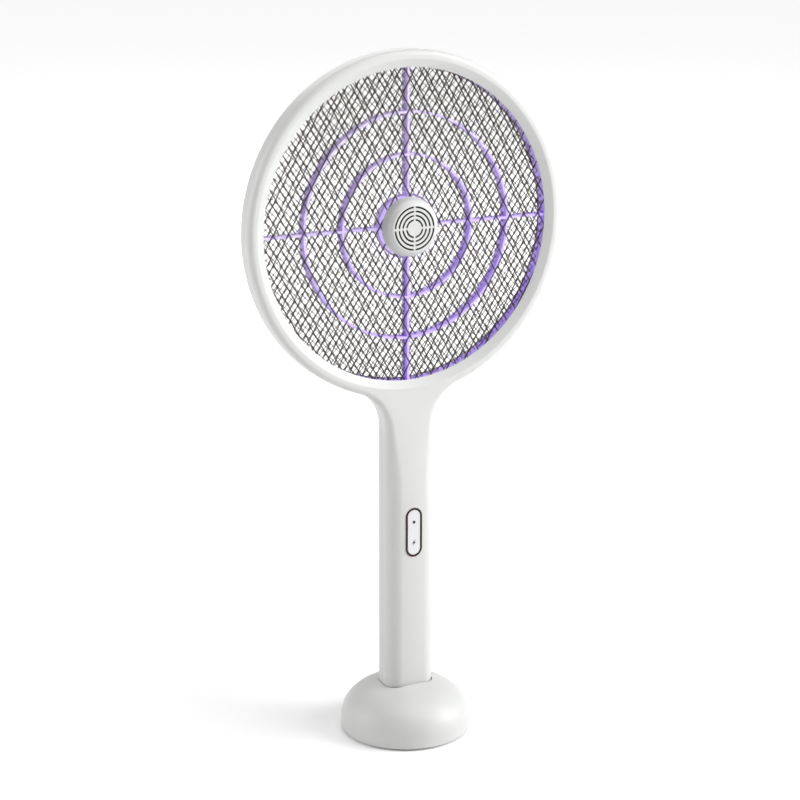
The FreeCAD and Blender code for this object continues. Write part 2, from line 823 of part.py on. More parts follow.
def hub_cap(node, forward):
    """A domed cap over the hub; the front one has four rings of curved slots."""
    body = new_body(node, z="{head_height}")
    sketch = new_sketch(body, "XY_Plane")
    sign = "-" if forward else ""
    corners = [
        ("{hub_base_radius}", sign + "{seat_depth}"),
        ("{hub_shoulder_radius}", sign + "{hub_shoulder_depth}"),
        ("{hub_face_radius}", sign + "{hub_face_depth}"),
        ("0", sign + "{hub_face_depth}"),
        ("0", sign + "({hub_face_depth}-{hub_wall})"),
        ("{hub_face_radius}-{hub_wall}/2", sign + "({hub_face_depth}-{hub_wall})"),
        ("{hub_shoulder_radius}-{hub_wall}", sign + "({hub_shoulder_depth}-{hub_wall}/2)"),
        ("{hub_base_radius}-{hub_wall}", sign + "{seat_depth}"),
    ]
    outline(sketch, corners)
    revolve(body, sketch)
    shoulder = ring_edge(size["hub_shoulder_radius"], size["hub_shoulder_depth"])
    round_edges(body, "{hub_shoulder_round}", shoulder)
    round_edges(body, "{hub_edge_round}", ring_edge(size["hub_face_radius"], size["hub_face_depth"]))
    if not forward:
        keep(body, node)
        return body
    for i in range(int(size["slot_rings"])):
        middle = "{slot_outer_radius}-%d*{slot_step}" % i
        slot = new_sketch(body, "XZ_Plane", "{hub_face_depth}-{hub_wall}")
        circle(slot, middle + "+{slot_width}/2")
        circle(slot, middle + "-{slot_width}/2")
        feature(body, "Pocket", slot, {"Length": "{hub_wall}"}).Reversed = True
    bridge = "2*{slot_outer_radius}+{slot_width}"
    for width, height in ((bridge, "{slot_bridge}"), ("{slot_bridge}", bridge)):
        sketch = rectangle(new_sketch(body, "XZ_Plane", "{hub_face_depth}-{hub_wall}"), width, height)
        pad(body, sketch, "{hub_wall}")
    keep(body, node)
    return body


def grille_backing():
    """A black disc just behind the slots that keeps the lamp's light in."""
    keep(rod("grille_backing", "{backing_radius}", "{backing_thickness}",
             y="-({hub_face_depth}-{hub_wall}-{backing_thickness})", z="{head_height}", turn=TO_FRONT),
         "grille_backing")


def lamp_lens():
    """The clear ring round the lamp, between the two outer nets."""
    body = new_body("lamp_lens", z="{head_height}")
    depth = "{seat_depth}-{net_thickness}"
    sketch = rectangle(new_sketch(body, "XY_Plane"), "{lens_wall}", "2*(%s)" % depth,
                       x="{hub_base_radius}-{lens_wall}/2-{lens_gap}")
    revolve(body, sketch)
    lead_channels(body)
    keep(body, "lamp_lens")


def lamp_board():
    """The round lamp board, midway in the hub."""
    keep(rod("lamp_board", "{lamp_board_radius}", "{lamp_board_thickness}",
             y="{lamp_board_thickness}/2", z="{head_height}", turn=TO_FRONT), "lamp_board")


def uv_leds():
    """Violet lamps round the board's edge, facing outwards along the nets."""
    body = new_body("uv_leds", z="{head_height}")
    sketch = rectangle(new_sketch(body, "XZ_Plane"), "{led_height}", "{led_size}",
                       x="{lamp_board_radius}+{led_height}/2")
    led = pad(body, sketch, "{led_size}", both_ways=True)
    round_pattern(body, [led], "Y_Axis", "{led_count}")
    keep(body, "uv_leds")


# ---------------------------------------------------------------- key and bezel

def button_bezel():
    """The metal-coloured ring round the key."""
    body = new_body("button_bezel", z="{key_height}")
    sketch = new_sketch(body, "XZ_Plane", "{handle_depth}/2-{bezel_depth}")
    pad(body, pill(sketch), "{bezel_depth}+{bezel_proud}")
    hole = new_sketch(body, "XZ_Plane", "{handle_depth}/2-{bezel_depth}")
    pill(hole, ["bezel_wall"])
    feature(body, "Pocket", hole, {"Length": "{handle_depth}"}).Reversed = True
    keep(body, "button_bezel")


def switch_key():
    """The white rocking key, with a lug on its back that turns on the pivot."""
    body = new_body("switch_key", z="{key_height}")
    back = "{handle_depth}/2+{key_proud}-{key_thickness}"
    sketch = new_sketch(body, "XZ_Plane", back)
    pill(sketch, ["bezel_wall", "key_gap"])
    pad(body, sketch, "{key_thickness}")
    lug_depth = "%s-{pivot_depth}+{key_lug_back}" % back
    lug = rectangle(new_sketch(body, "XZ_Plane", "{pivot_depth}-{key_lug_back}"),
                    "{key_lug_width}", "{key_lug_length}")
    pad(body, lug, lug_depth)
    bore = circle(new_sketch(body, "YZ_Plane"), "{pivot_radius}+{pivot_clearance}", x="-{pivot_depth}")
    pocket(body, bore, "{handle_width}").Midplane = True
    keep(body, "switch_key")


def key_pivot():
    """The steel pin that the key rocks on."""
    keep(rod("key_pivot", "{pivot_radius}", "{pivot_length}", x="-{pivot_length}/2", y="-{pivot_depth}",
             z="{key_height}", turn=TO_RIGHT), "key_pivot")


def key_marks():
    """Two plain inlays on the key: a dot at the lamp end and a small bolt at the zapper end."""
    body = new_body("key_marks", z="{key_height}")
    face = "{handle_depth}/2+{key_proud}"
    pad(body, circle(new_sketch(body, "XZ_Plane", face), "{mark_radius}", y="{mark_offset}"),
        "{mark_thickness}")
    half_bolt = [("{bolt_tip_across}", "{bolt_tip_height}"), ("-{bolt_wing_across}", "-{bolt_wing_height}"),
                 ("-{bolt_waist_across}", "-{bolt_wing_height}")]
    bolt = half_bolt + [("-(%s)" % x, "-(%s)" % y) for x, y in half_bolt]
    corners = [(x, y + "-{mark_offset}") for x, y in bolt]
    pad(body, outline(new_sketch(body, "XZ_Plane", face), corners), "{mark_thickness}")
    keep(body, "key_marks")


# ---------------------------------------------------------------- electronics in the handle

def main_board():
    """The upright circuit board behind the key."""
    keep(block("main_board", "{board_width}", "{board_thickness}", "{board_length}",
               y="-({board_front}-{board_thickness}/2)", z="{board_bottom}+{board_length}/2"), "main_board")


def tact_switches():
    """The two small switches under the ends of the key."""
    parts = []
    for i, side in enumerate(("-1", "1")):
        height = "{key_height}%s{tact_spacing}" % ("-" if side == "-1" else "+")
        body = block("tact_body_%d" % i, "{tact_size}", "{tact_body}", "{tact_size}",
                     y="-({board_front}+{tact_body}/2)", z=height)
        button = rod("tact_button_%d" % i, "{tact_button}", "{tact_button_height}",
                     y="-({board_front}+{tact_body})", z=height, turn=TO_FRONT)
        parts.append(joined("tact_%d" % i, [body, button]))
    keep(group("tact_switches", parts), "tact_switches")


def transformer():
    """The step-up transformer: a ferrite core with three limbs and a winding on the middle one."""
    back = "{core_stand_off}-({board_front}-{board_thickness})"
    middle = back + "+{core_depth}/2"
    core = block("core_blank", "{core_width}", "{core_depth}", "{core_length}", y=middle,
                 z="{transformer_height}")
    window_width = "({core_width}-{core_limb})/2-{core_leg}"
    windows = []
    for name, side in (("left_window", "-1"), ("right_window", "1")):
        windows.append(block(name, window_width, "2*{core_depth}", "{core_length}-2*{core_yoke}",
                             x=side + "*({core_limb}+%s)/2" % window_width, y=middle,
                             z="{transformer_height}"))
    keep(cut("transformer_core", core, joined("core_windows", windows)), "transformer_core")
    coil = block("coil_blank", "{core_width}-2*{core_leg}-{coil_gap}", "{coil_depth}",
                 "{core_length}-2*{core_yoke}-{coil_gap}", y=middle, z="{transformer_height}")
    limb = block("coil_hole", "{core_limb}", "{core_depth}", "{core_length}", y=middle,
                 z="{transformer_height}")
    keep(cut("transformer_coil", coil, limb), "transformer_coil")


def board_back():
    """The board's back face, as a distance behind the parting plane."""
    return "-({board_front}-{board_thickness})"


def film_capacitor():
    """The high-voltage film capacitor, a box with rounded upright edges."""
    body = new_body("film_capacitor", y=board_back() + "+{film_depth}/2", z="{film_height}")
    sketch = rectangle(new_sketch(body, "XY_Plane"), "{film_width}", "{film_depth}")
    pad(body, sketch, "{film_length}")
    round_edges(body, "{film_round}", upright)
    keep(body, "film_capacitor")


def board_row(node, count, radius, length, height, turn):
    """A row of equal round components across the back of the board."""
    parts = []
    for i in range(count):
        x = "%d*{row_step}" % (i - count // 2)
        name = "%s_%d" % (node, i)
        if turn:
            parts.append(rod(name, radius, length, x=x, y=board_back(), z=height, turn=turn))
        else:
            parts.append(rod(name, radius, length, x=x, y="%s+%s" % (board_back(), radius), z=height))
    keep(group(node, parts), node)


def control_chip():
    """The small control chip on the front of the board."""
    keep(block("control_chip", "{chip_width}", "{chip_depth}", "{chip_length}",
               y="-({board_front}+{chip_depth}/2)", z="{chip_height}"), "control_chip")


def battery_cell():
    """The cylindrical rechargeable cell, standing in the lower handle."""
    body = new_body("battery_cell", z="{cell_bottom}")
    corners = [
        ("0", "0"), ("{cell_radius}", "0"), ("{cell_radius}", "{cell_length}"),
        ("{cell_nub}", "{cell_length}"), ("{cell_nub}", "{cell_length}+{cell_nub_height}"),
        ("0", "{cell_length}+{cell_nub_height}"),
    ]
    revolve(body, outline(new_sketch(body, "XZ_Plane"), corners))
    keep(body, "battery_cell")


def battery_contacts():
    """The two metal tabs at the ends of the cell."""
    lower = block("lower_contact", "{contact_width}", "{contact_depth}", "{contact_thickness}",
                  z="{cell_bottom}-{contact_thickness}/2")
    upper = block("upper_contact", "{contact_width}", "{contact_depth}", "{contact_thickness}",
                  z="{cell_bottom}+{cell_length}+{cell_nub_height}+{contact_thickness}/2")
    keep(group("battery_contacts", [lower, upper]), "battery_contacts")


def lead_pair(node, x, y, bottom, top, radius="{lead_radius}"):
    """Two straight insulated leads, one each side of the middle."""
    span = "(%s)-(%s)" % (top, bottom)
    parts = [rod(node + side, radius, span, x=sign + "*(%s)" % x, y=y, z=bottom)
             for side, sign in (("_left", "-1"), ("_right", "1"))]
    keep(group(node, parts), node)


def leads():
    """Battery, charging, net and lamp leads."""
    behind = "%s+{lead_radius}" % board_back()
    lead_pair("battery_leads", "{battery_lead_offset}", "{lead_side_depth}-{battery_lead_shift}",
              "{cell_bottom}", "{cell_bottom}+{cell_length}+{cell_nub_height}")
    lead_pair("charge_leads", "{charge_lead_offset}", "-{lead_side_depth}",
              "{handle_bottom}+{end_cap_thickness}", "{board_bottom}")
    lead_pair("net_leads", "{net_lead_spacing}", behind, "{board_bottom}+{board_length}",
              "{head_height}-{ring_screw_circle}")
    lead_pair("lamp_leads", "{rib_width}/2+{lamp_lead_radius}+{lead_gap}",
              "{net_thickness}/2+{lamp_lead_radius}+{lead_gap}",
              "{head_height}-{net_radius}",
              "{head_height}-{lamp_board_radius}-{led_height}-{lead_end_gap}",
              radius="{lamp_lead_radius}")


def end_cap():
    """The plug that closes the handle, with windows for the charging pads."""
    body = new_body("end_cap", z="{handle_bottom}")
    shrink = "2*({cover_wall}+{end_cap_gap})"
    sketch = rectangle(new_sketch(body, "XY_Plane"), "{handle_width}-" + shrink, "{handle_depth}-" + shrink)
    pad(body, sketch, "{end_cap_thickness}")
    round_edges(body, "{handle_corner}-{cover_wall}", upright)
    for side in ("-1", "1"):
        place = side + "*{pad_spacing}"
        window = rectangle(new_sketch(body, "XY_Plane"), "{pad_size}", "{pad_size}", x=place)
        pocket(body, window, "{end_cap_thickness}", backwards=True)
    keep(body, "end_cap")


def charge_pads():
    """The two plated pads that meet the dock's pins, level with the cap's lower face."""
    parts = [block(name, "{pad_size}", "{pad_size}", "{end_cap_thickness}", x=side + "*{pad_spacing}",
                   z="{handle_bottom}+{end_cap_thickness}/2")
             for name, side in (("left_pad", "-1"), ("right_pad", "1"))]
    keep(group("charge_pads", parts), "charge_pads")


# ---------------------------------------------------------------- charging dock

def dome(name, inset, bottom):
    """A short drum under half an ellipsoid, drawn in by a wall thickness."""
    radius = "{dock_radius}-(%s)" % inset
    drum = rod(name + "_drum", radius, "{dock_shoulder}-(%s)" % bottom, z=bottom)
    cap = doc.addObject("Part::Ellipsoid", name + "_cap")
    cap.Angle1 = 0
    bind(cap, {"Radius1": "{dock_dome}-(%s)" % inset, "Radius2": radius, "Radius3": radius})
    at(cap, z="{dock_shoulder}")
    return joined(name, [drum, cap])


def socket_prism(name, growth, bottom, height):
    """An upright rounded prism round the handle's section."""
    body = new_body(name, z=bottom)
    sketch = rectangle(new_sketch(body, "XY_Plane"), "{handle_width}+2*(%s)" % growth,
                       "{handle_depth}+2*(%s)" % growth)
    pad(body, sketch, height)
    round_edges(body, "{handle_corner}+(%s)" % growth, upright)
    return body


def dock_screw_angles():
    """Directions of the three dock screws: one at the front and one each side of the inlet."""
    return (30, 150, 270)


def round_place(circle_radius, angle):
    """A place on a circle about the dock's axis, as two formulas."""
    return (circle_radius + "*cos(%d)" % angle, circle_radius + "*sin(%d)" % angle)


def dock_shell():
    """The domed body of the dock, with the handle's socket, screw posts and the inlet's opening."""
    hollow = cut("dock_skin", dome("dock_outside", "0", "{dock_lift}"),
                 dome("dock_inside", "{dock_wall}", "{dock_lift}"))
    socket_bottom = "{handle_bottom}-{socket_floor}"
    outer = socket_prism("socket_outside", "{socket_gap}+{socket_wall}", socket_bottom, "{dock_dome}")
    cup = common("socket_cup", outer, dome("socket_limit", "{dock_wall}/2", "{dock_lift}"))
    parts = [hollow, cup]
    for angle in dock_screw_angles():
        x, y = round_place("{dock_boss_circle}", angle)
        low = "{dock_lift}+{plate_thickness}"
        parts.append(rod("dock_post_%d" % angle, "{dock_boss_radius}", "{dock_boss_top}-(%s)" % low,
                         x=x, y=y, z=low))
    solid = joined("dock_with_posts", parts)
    tools = [socket_prism("socket_void", "{socket_gap}", "{handle_bottom}", "{dock_dome}")]
    for i, side in enumerate(("-1", "1")):
        tools.append(rod("barrel_hole_%d" % i, "{barrel_radius}+{barrel_gap}", "{handle_bottom}",
                         x=side + "*{pad_spacing}"))
    for angle in dock_screw_angles():
        x, y = round_place("{dock_boss_circle}", angle)
        tools.append(rod("dock_bore_%d" % angle, "{screw_shank}", "{dock_screw_length}+{dock_lift}",
                         x=x, y=y))
    opening = new_body("inlet_opening", y="{inlet_back}-{inlet_length}", z=inlet_middle())
    sketch = rectangle(new_sketch(opening, "XZ_Plane"), "{inlet_width}+2*{inlet_gap}",
                       "{inlet_height}+2*{inlet_gap}")
    pad(opening, sketch, "{dock_radius}").Reversed = True
    round_edges(opening, "{inlet_height}/2", crosswise)
    tools.append(opening)
    keep(cut("dock_shell", solid, joined("dock_cuts", tools)), "dock_shell")


def board_top():
    """The height of the dock board's upper face."""
    return "{dock_lift}+{plate_thickness}+{dock_board_thickness}"


def inlet_middle():
    """The height of the charging inlet's middle."""
    return board_top() + "+{inlet_height}/2"


def dock_base_plate():
    """The plate that closes the dock from below."""
    plate = rod("plate_disc", "{dock_radius}-{dock_wall}-{plate_gap}", "{plate_thickness}", z="{dock_lift}")
    holes = []
    for angle in dock_screw_angles():
        x, y = round_place("{dock_boss_circle}", angle)
        holes.append(rod("plate_hole_%d" % angle, "{screw_shank}", "{dock_boss_top}", x=x, y=y))
        holes.append(rod("plate_sink_%d" % angle, "{screw_head}+{dock_head_gap}",
                         "{dock_lift}+{dock_screw_sink}", x=x, y=y))
    keep(cut("dock_base_plate", plate, joined("plate_holes", holes)), "dock_base_plate")


def dock_screws():
    """The three screws that hold the base plate, put in from below."""
    screws = []
    for angle in dock_screw_angles():
        x, y = round_place("{dock_boss_circle}", angle)
        seat = "{dock_lift}+{dock_screw_sink}"
        head = rod("dock_screw_head_%d" % angle, "{screw_head}", "{dock_screw_head_height}", x=x, y=y,
                   z=seat + "-{dock_screw_head_height}")
        shank = rod("dock_screw_shank_%d" % angle, "{screw_shank}",
                    "{dock_screw_length}-{dock_screw_sink}", x=x, y=y, z=seat)
        slot = block("dock_screw_slot_%d" % angle, "{screw_slot_length}", "{screw_slot_width}",
                     "2*{dock_screw_slot_depth}", x=x, y=y, z=seat + "-{dock_screw_head_height}")
        blank = joined("dock_screw_blank_%d" % angle, [head, shank])
        screws.append(cut("dock_screw_%d" % angle, blank, slot))
    keep(group("dock_screws", screws), "dock_screws")


def foot_ring():
    """The soft ring that the dock stands on."""
    outer = rod("foot_outer", "{dock_radius}-{dock_wall}-{plate_gap}", "{dock_lift}")
    inner = rod("foot_hole", "{foot_inner}", "{dock_lift}")
    keep(cut("foot_ring", outer, inner), "foot_ring")


def dock_weight():
    """The steel ring that keeps the dock from tipping, notched for the board and the posts."""
    low = "{dock_lift}+{plate_thickness}"
    blank = rod("weight_blank", "{weight_outer}", "{weight_height}", z=low)
    tools = [rod("weight_hole", "{weight_inner}", "{dock_dome}")]
    notch = "{dock_board_width}+2*{board_notch_gap}"
    tools.append(block("weight_notch", notch, "{dock_radius}", "{dock_dome}", y="{dock_radius}/2",
                       z="{dock_dome}/2"))
    for angle in dock_screw_angles():
        x, y = round_place("{dock_boss_circle}", angle)
        tools.append(rod("weight_gap_%d" % angle, "{dock_boss_radius}+{dock_boss_gap}", "{dock_dome}",
                         x=x, y=y))
    keep(cut("dock_weight", blank, joined("weight_cuts", tools)), "dock_weight")


def dock_board():
    """The charging board, from under the socket to the inlet at the back."""
    keep(block("dock_board", "{dock_board_width}", "{dock_board_back}+{dock_board_front}",
               "{dock_board_thickness}", y="({dock_board_back}-{dock_board_front})/2",
               z=board_top() + "-{dock_board_thickness}/2"), "dock_board")


def usb_inlet():
    """The charging inlet: a thin metal shell, open at the back, with a tongue inside."""
    body = new_body("usb_inlet", y="{inlet_back}-{inlet_length}", z=inlet_middle())
    sketch = rectangle(new_sketch(body, "XZ_Plane"), "{inlet_width}", "{inlet_height}")
    pad(body, sketch, "{inlet_length}").Reversed = True
    round_edges(body, "{inlet_corner}", crosswise)
    floor = "-{inlet_back_wall}"
    bore = rectangle(new_sketch(body, "XZ_Plane", floor), "{inlet_width}-{inlet_height}",
                     "{inlet_height}-2*{inlet_wall}")
    feature(body, "Pocket", bore, {"Length": "{inlet_length}"})
    tongue = rectangle(new_sketch(body, "XZ_Plane", floor), "{tongue_width}", "{tongue_thickness}")
    pad(body, tongue, "{inlet_length}-{inlet_back_wall}-{tongue_setback}").Reversed = True
    keep(body, "usb_inlet")


def pin_barrels():
    """The two sleeves that the contact pins slide in, standing on the board."""
    parts = []
    height = "{handle_bottom}-{barrel_top_gap}-(%s)" % board_top()
    for i, side in enumerate(("-1", "1")):
        body = new_body("barrel_%d" % i, x=side + "*{pad_spacing}", z=board_top())
        tip = "{pin_tip_radius}+{pin_clearance}"
        bore = "{pin_radius}+{pin_clearance}"
        corners = [
            ("0", "0"), ("{barrel_radius}", "0"), ("{barrel_radius}", height), (tip, height),
            (tip, height + "-{barrel_crimp}"), (bore, height + "-{barrel_crimp}"), (bore, "{barrel_crimp}"),
            ("0", "{barrel_crimp}"),
        ]
        revolve(body, outline(new_sketch(body, "XZ_Plane"), corners))
        parts.append(body)
    keep(group("pin_barrels", parts), "pin_barrels")


def pin_top():
    """The height of a pin's shoulder just under its sleeve's crimp."""
    return "{handle_bottom}-{barrel_top_gap}-{barrel_crimp}-{pin_shoulder_gap}"


def contact_pin(node, side):
    """One sprung contact pin: a shouldered body and a thinner flat tip that meets the pad."""
    low = "%s-{pin_body_length}" % pin_top()
    body = new_body(node, x=side + "*{pad_spacing}", z=low)
    top = "{handle_bottom}-(%s)" % low
    corners = [
        ("0", "0"), ("{pin_radius}", "0"), ("{pin_radius}", "{pin_body_length}"),
        ("{pin_tip_radius}", "{pin_body_length}"), ("{pin_tip_radius}", top), ("0", top),
    ]
    revolve(body, outline(new_sketch(body, "XZ_Plane"), corners))
    keep(body, node)


def pin_springs():
    """The small coil springs under the pins, shown closed."""
    turns = size["pin_spring_turns"]
    height = size["pin_spring_height"]
    radius = size["pin_spring_radius"]
    wire = size["pin_spring_wire"]
    base = size["dock_lift"] + size["plate_thickness"] + size["dock_board_thickness"] + size["barrel_crimp"]
    coils = []
    for side in (-1, 1):
        path = Part.Wire(Part.makeHelix(height / turns, height, radius))
        section = Part.Wire(Part.makeCircle(wire, FreeCAD.Vector(radius, 0, 0), FreeCAD.Vector(0, 1, 0)))
        coil = path.makePipeShell([section], True, True)
        coil.translate(FreeCAD.Vector(side * size["pad_spacing"], 0, base + size["pin_spring_lift"]))
        coils.append(coil)
    keep(raw_shape("pin_springs", Part.makeCompound(coils)), "pin_springs")


# ---------------------------------------------------------------- assembly

casing_shape = casing()
front_cover()
rear_cover()
ring_screws()
handle_screws()
nets()
rib_grid("front_ribs", True)
rib_grid("rear_ribs", False)
hub_cap("hub_front_cap", True)
hub_cap("hub_rear_cap", False)
grille_backing()
lamp_lens()
lamp_board()
uv_leds()
button_bezel()
switch_key()
key_pivot()
key_marks()
main_board()
tact_switches()
transformer()
film_capacitor()
board_row("rectifier_diodes", 3, "{diode_radius}", "{diode_length}", "{diode_height}", None)
board_row("doubler_capacitors", 3, "{disc_radius}", "{disc_thickness}", "{disc_height}", TO_BACK)
control_chip()
battery_cell()
battery_contacts()
leads()
end_cap()
charge_pads()
dock_shell()
dock_base_plate()
dock_screws()
foot_ring()
dock_weight()
dock_board()
usb_inlet()
pin_barrels()
contact_pin("contact_pin_left", "-1")
contact_pin("contact_pin_right", "1")
pin_springs()
doc.recompute()

failed = [item.Name for item in doc.Objects if "Invalid" in item.State or "Error" in item.State]
if failed:
    raise RuntimeError("these objects failed: " + ", ".join(failed))
for item in NODES:
    shape = item.Shape
    if shape.isNull() or not shape.isValid() or not shape.Solids:
        raise RuntimeError(item.Label + " has no sound solid")

os.makedirs("parts", exist_ok=True)
for item in NODES:
    item.Shape.exportStep("parts/%s.step" % item.Label)
    print("%-20s %3d solids %10.1f mm3" % (item.Label, len(item.Shape.Solids), item.Shape.Volume))
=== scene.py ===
import math

import bmesh
import bpy
from mathutils import Matrix, Vector


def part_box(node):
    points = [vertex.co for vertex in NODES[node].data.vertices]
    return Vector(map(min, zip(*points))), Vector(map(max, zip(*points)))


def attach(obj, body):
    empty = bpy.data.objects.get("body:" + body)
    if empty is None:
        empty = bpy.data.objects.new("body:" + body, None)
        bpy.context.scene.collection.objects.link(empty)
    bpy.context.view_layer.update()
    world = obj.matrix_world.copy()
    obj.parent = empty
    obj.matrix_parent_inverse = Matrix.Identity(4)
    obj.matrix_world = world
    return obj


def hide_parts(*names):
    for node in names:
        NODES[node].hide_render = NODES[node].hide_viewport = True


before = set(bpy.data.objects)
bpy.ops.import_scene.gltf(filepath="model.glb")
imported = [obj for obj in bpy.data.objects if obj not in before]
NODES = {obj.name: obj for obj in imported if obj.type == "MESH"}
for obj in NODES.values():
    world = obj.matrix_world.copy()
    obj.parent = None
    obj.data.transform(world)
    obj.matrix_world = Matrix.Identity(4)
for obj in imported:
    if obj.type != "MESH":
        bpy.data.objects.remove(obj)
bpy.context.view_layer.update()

# Rechargeable electric fly swatter in its charging dock. Metres, +Z up, front towards -Y.


MM = 0.001
HEAD = 340.1 * MM
HEAD_RADIUS = 110.0 * MM
RING_HALF_DEPTH = 7.6 * MM
CREST_RADIUS = 104.2 * MM
RING_ROUND = 3.8 * MM
OPENING_RADIUS = 98.95 * MM
LIP_DEPTH = 4.65 * MM
SEAT_DEPTH = 4.4 * MM
SEAT_RADIUS = 102.2 * MM
CHANNEL_RADIUS = 104.6 * MM
WALL = 1.8 * MM
HALF_WIDTH = 17.0 * MM
HALF_DEPTH = 12.0 * MM
CORNER = 9.0 * MM
BOTTOM = 13.0 * MM
NECK_START = 165.0 * MM
FLARE = 28.0 * MM
KEY_HEIGHT = 140.2 * MM
KEY_SPAN = 35.0 * MM
KEY_ROWS = 84
BEZEL_WIDTH = 11.7 * MM
BEZEL_LENGTH = 33.4 * MM
KEY_HOLE_INSET = 0.3 * MM
GRIP_FACE_REACH = 0.3 * MM
GRIP_CROWN = 1.6 * MM
SEAM = 0.22 * MM
SEAM_DEPTH = 0.28 * MM


# ---------------------------------------------------------------- materials

def shader(name, colour, rough=0.5, metallic=0.0, mottle=0.02, grain=0.0, scale=300.0, coat=0.0):
    """A material whose colour and roughness vary a little with a fine noise, and whose bump is that noise."""
    material = bpy.data.materials.new(name)
    material.use_nodes = True
    nodes, links = material.node_tree.nodes, material.node_tree.links
    surface = nodes["Principled BSDF"]
    surface.inputs["Metallic"].default_value = metallic
    surface.inputs["Coat Weight"].default_value = coat
    place = nodes.new("ShaderNodeTexCoord")
    noise = nodes.new("ShaderNodeTexNoise")
    noise.inputs["Scale"].default_value = scale
    noise.inputs["Detail"].default_value = 3.0
    links.new(place.outputs["Object"], noise.inputs["Vector"])
    tint = nodes.new("ShaderNodeMix")
    tint.data_type = "RGBA"
    tint.name = "tint"
    low = [max(0.0, channel * (1 - mottle)) for channel in colour]
    high = [min(1.0, channel * (1 + mottle)) for channel in colour]
    tint.inputs["A"].default_value = (*low, 1)
    tint.inputs["B"].default_value = (*high, 1)
    links.new(noise.outputs["Fac"], tint.inputs["Factor"])
    links.new(tint.outputs["Result"], surface.inputs["Base Color"])
    spread = nodes.new("ShaderNodeMapRange")
    spread.inputs["To Min"].default_value = max(0.02, rough - 0.04)
    spread.inputs["To Max"].default_value = min(1.0, rough + 0.04)
    links.new(noise.outputs["Fac"], spread.inputs["Value"])
    links.new(spread.outputs["Result"], surface.inputs["Roughness"])
    if grain:
        bump = nodes.new("ShaderNodeBump")
        bump.inputs["Strength"].default_value = grain
        bump.inputs["Distance"].default_value = 0.0002
        links.new(noise.outputs["Fac"], bump.inputs["Height"])
        links.new(bump.outputs["Normal"], surface.inputs["Normal"])
    return material


def glow(material, colour, low, high, reach=0.1, lean=(0.0, 0.0, 0.0), deep=None):
    """Give a material emission in the lamp's colour, more towards the lean direction, where its base colour
    may deepen towards the lit colour; on anything but the LEDs this is painted lamp light.
    """
    nodes, links = material.node_tree.nodes, material.node_tree.links
    surface = nodes["Principled BSDF"]
    place = nodes.new("ShaderNodeTexCoord")
    offset = nodes.new("ShaderNodeVectorMath")
    offset.operation = "SUBTRACT"
    offset.inputs[1].default_value = (0.0, 0.0, HEAD)
    along = nodes.new("ShaderNodeVectorMath")
    along.operation = "DOT_PRODUCT"
    along.inputs[1].default_value = lean
    links.new(place.outputs["Object"], offset.inputs[0])
    links.new(offset.outputs["Vector"], along.inputs[0])
    level = nodes.new("ShaderNodeMapRange")
    level.interpolation_type = "SMOOTHSTEP"
    level.inputs["From Min"].default_value = -reach
    level.inputs["From Max"].default_value = reach
    level.inputs["To Min"].default_value = low
    level.inputs["To Max"].default_value = high
    links.new(along.outputs["Value"], level.inputs["Value"])
    surface.inputs["Emission Color"].default_value = (*colour, 1)
    links.new(level.outputs["Result"], surface.inputs["Emission Strength"])
    # painted lamp light: the base colour turns towards the deeper lit colour where the painted emission is
    # stronger
    if deep:
        share = nodes.new("ShaderNodeMapRange")
        share.inputs["From Min"].default_value = low
        share.inputs["From Max"].default_value = high
        links.new(level.outputs["Result"], share.inputs["Value"])
        blend = nodes.new("ShaderNodeMix")
        blend.data_type = "RGBA"
        blend.inputs["B"].default_value = (*deep, 1)
        links.new(share.outputs["Result"], blend.inputs["Factor"])
        links.new(nodes["tint"].outputs["Result"], blend.inputs["A"])
        links.new(blend.outputs["Result"], surface.inputs["Base Color"])
    return material


def painted_lamp_halo(material, colour, inner, outer, strength):
    """Paint the lamp's light onto a material as emission close round the hub, fading between two radii."""
    nodes, links = material.node_tree.nodes, material.node_tree.links
    surface = nodes["Principled BSDF"]
    place = nodes.new("ShaderNodeTexCoord")
    away = nodes.new("ShaderNodeVectorMath")
    away.operation = "DISTANCE"
    away.inputs[1].default_value = (0.0, 0.0, HEAD)
    links.new(place.outputs["Object"], away.inputs[0])
    level = nodes.new("ShaderNodeMapRange")
    level.inputs["From Min"].default_value = inner
    level.inputs["From Max"].default_value = outer
    level.inputs["To Min"].default_value = strength
    level.inputs["To Max"].default_value = 0.0
    links.new(away.outputs["Value"], level.inputs["Value"])
    surface.inputs["Emission Color"].default_value = (*colour, 1)
    links.new(level.outputs["Result"], surface.inputs["Emission Strength"])
    return material


def two_tone(material, other, axis, low, high):
    """Blend the material's colour into another along one axis between two places."""
    nodes, links = material.node_tree.nodes, material.node_tree.links
    surface = nodes["Principled BSDF"]
    place = nodes.new("ShaderNodeTexCoord")
    split = nodes.new("ShaderNodeSeparateXYZ")
    links.new(place.outputs["Object"], split.inputs["Vector"])
    level = nodes.new("ShaderNodeMapRange")
    level.inputs["From Min"].default_value = low
    level.inputs["From Max"].default_value = high
    links.new(split.outputs[axis], level.inputs["Value"])
    blend = nodes.new("ShaderNodeMix")
    blend.data_type = "RGBA"
    blend.inputs["B"].default_value = (*other, 1)
    links.new(level.outputs["Result"], blend.inputs["Factor"])
    links.new(nodes["tint"].outputs["Result"], blend.inputs["A"])
    links.new(blend.outputs["Result"], surface.inputs["Base Color"])
    return material


